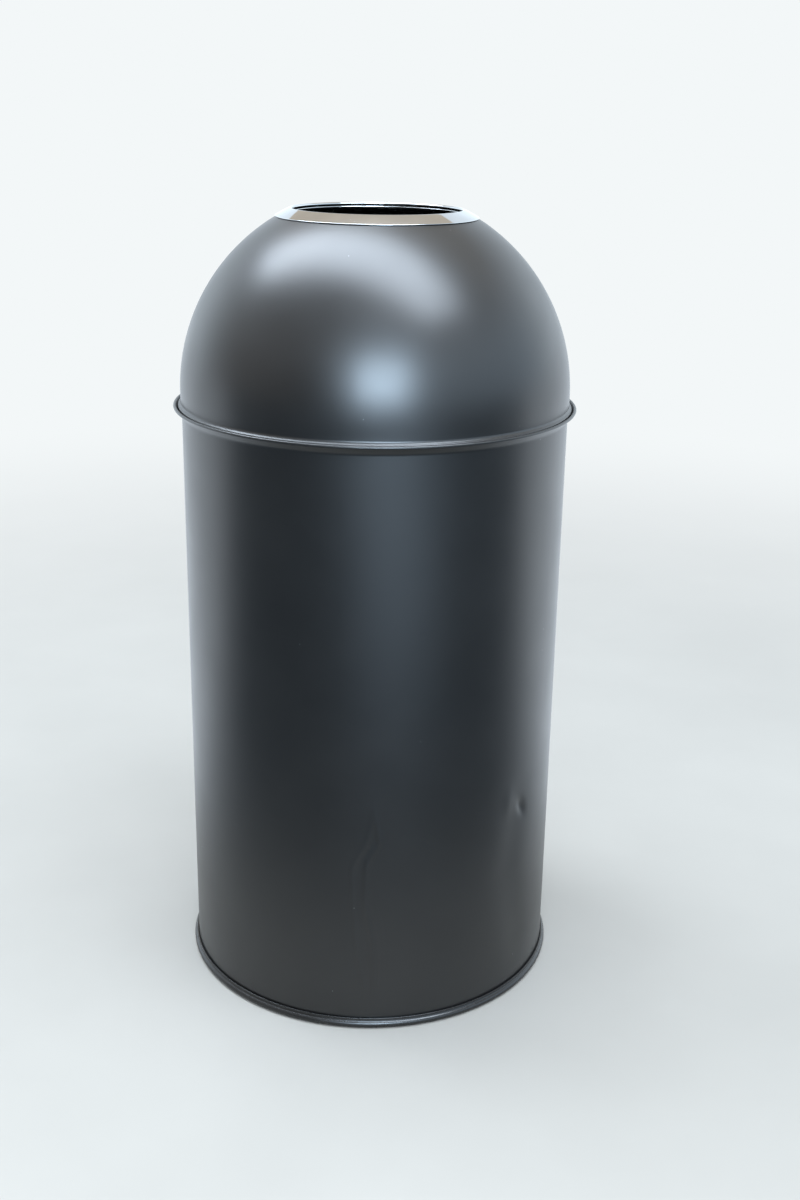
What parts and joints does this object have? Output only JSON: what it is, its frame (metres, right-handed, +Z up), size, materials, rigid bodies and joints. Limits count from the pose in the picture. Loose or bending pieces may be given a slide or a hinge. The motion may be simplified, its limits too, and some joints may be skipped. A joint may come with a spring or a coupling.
{
  "type": "dome top waste receptacle",
  "caption": "Round steel waste bin with a lift-off dome, a bright ring round the open top, a floor ring and a lift-out metal liner with a swinging bail.",
  "frame": {"origin": "centre of the footprint, on the floor", "axes": "+Z up along the bin's axis; -Y towards the pictured front; the body's seam is at +Y"},
  "size_m": [0.386, 0.386, 0.76],
  "materials": {
    "powder_coat": "satin black powder coat on steel sheet",
    "floor_ring_plastic": "soft black moulded plastic",
    "clamp_plastic": "black moulded plastic",
    "bright_trim": "mirror-bright plated steel",
    "galvanised_sheet": "hot-dip galvanised steel with a soft spangle",
    "zinc_wire": "zinc-plated steel wire"
  },
  "bodies": {
    "body": {"body_shell": "powder_coat", "base_pan": "powder_coat", "floor_ring": "floor_ring_plastic"},
    "dome": {"dome_shell": "powder_coat", "dome_collar": "powder_coat", "trim_ring": "bright_trim", "trim_clamp_ring": "clamp_plastic"},
    "liner": {"liner_wall": "galvanised_sheet", "liner_bottom": "galvanised_sheet", "liner_rim_wire": "zinc_wire", "bail_ear_right": "galvanised_sheet", "bail_ear_left": "galvanised_sheet", "ear_rivet_right_front": "zinc_wire", "ear_rivet_right_back": "zinc_wire", "ear_rivet_left_front": "zinc_wire", "ear_rivet_left_back": "zinc_wire"},
    "bail": {"bail_handle": "zinc_wire"}
  },
  "joints": [
    {"name": "dome_lift", "type": "slide", "parent": "body", "child": "dome", "axis": [0, 0, 1], "range_m": [0, 1.2]},
    {"name": "liner_lift", "type": "slide", "parent": "body", "child": "liner", "axis": [0, 0, 1], "range_m": [0, 0.57]},
    {"name": "bail_swing", "type": "hinge", "parent": "liner", "child": "bail", "pos_m": [0, 0, 0.5221], "axis": [1, 0, 0], "range_deg": [0, 217.9]}
  ],
  "couplings": [
    {"joint": "liner_lift", "follows": "dome_lift", "ratio": 0.47}
  ]
}
